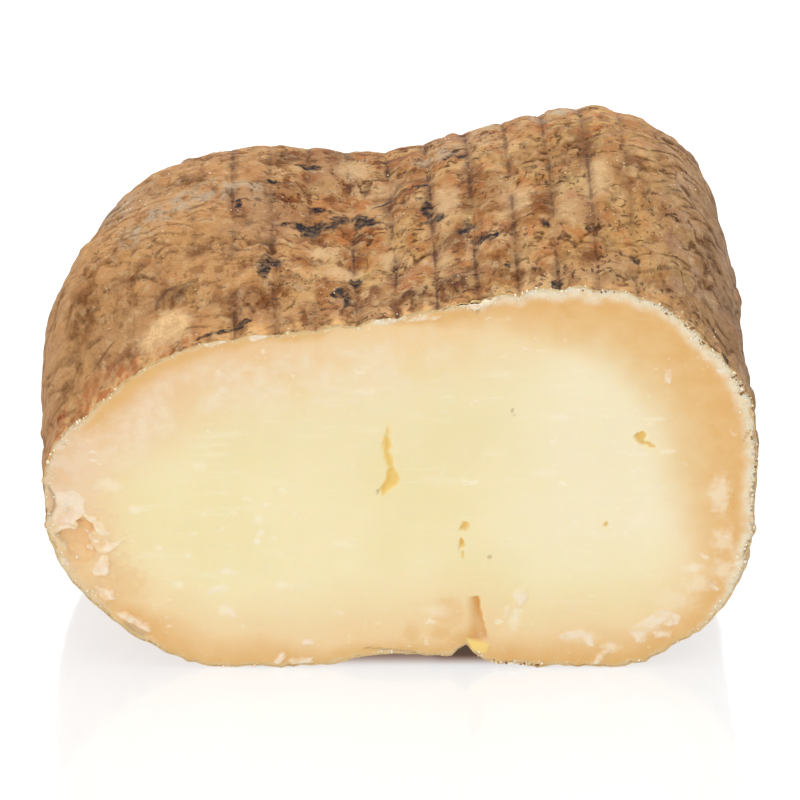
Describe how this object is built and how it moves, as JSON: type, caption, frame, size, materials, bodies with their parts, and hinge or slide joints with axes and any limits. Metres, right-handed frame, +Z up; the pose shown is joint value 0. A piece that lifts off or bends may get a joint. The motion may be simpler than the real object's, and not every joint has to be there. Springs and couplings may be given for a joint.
{
  "type": "cheese wheel",
  "caption": "Cut half of a small farmhouse cheese wheel, with a brown grooved rind and a flat pale cut face.",
  "frame": {"origin": "on the flat base, under the middle of the piece's box", "axes": "+X to the right as seen from the cut face, +Y away from the cut face towards the back rind, +Z up"},
  "size_m": [0.1492, 0.1112, 0.0945],
  "materials": {
    "rind": "natural dry cheese rind: matt, tan to brown, mottled, with dark mould specks",
    "paste": "cut cheese paste: pale yellow, satin and slightly translucent, darker under the rind"
  },
  "bodies": {
    "root": {"cheese": "rind"}
  },
  "joints": []
}
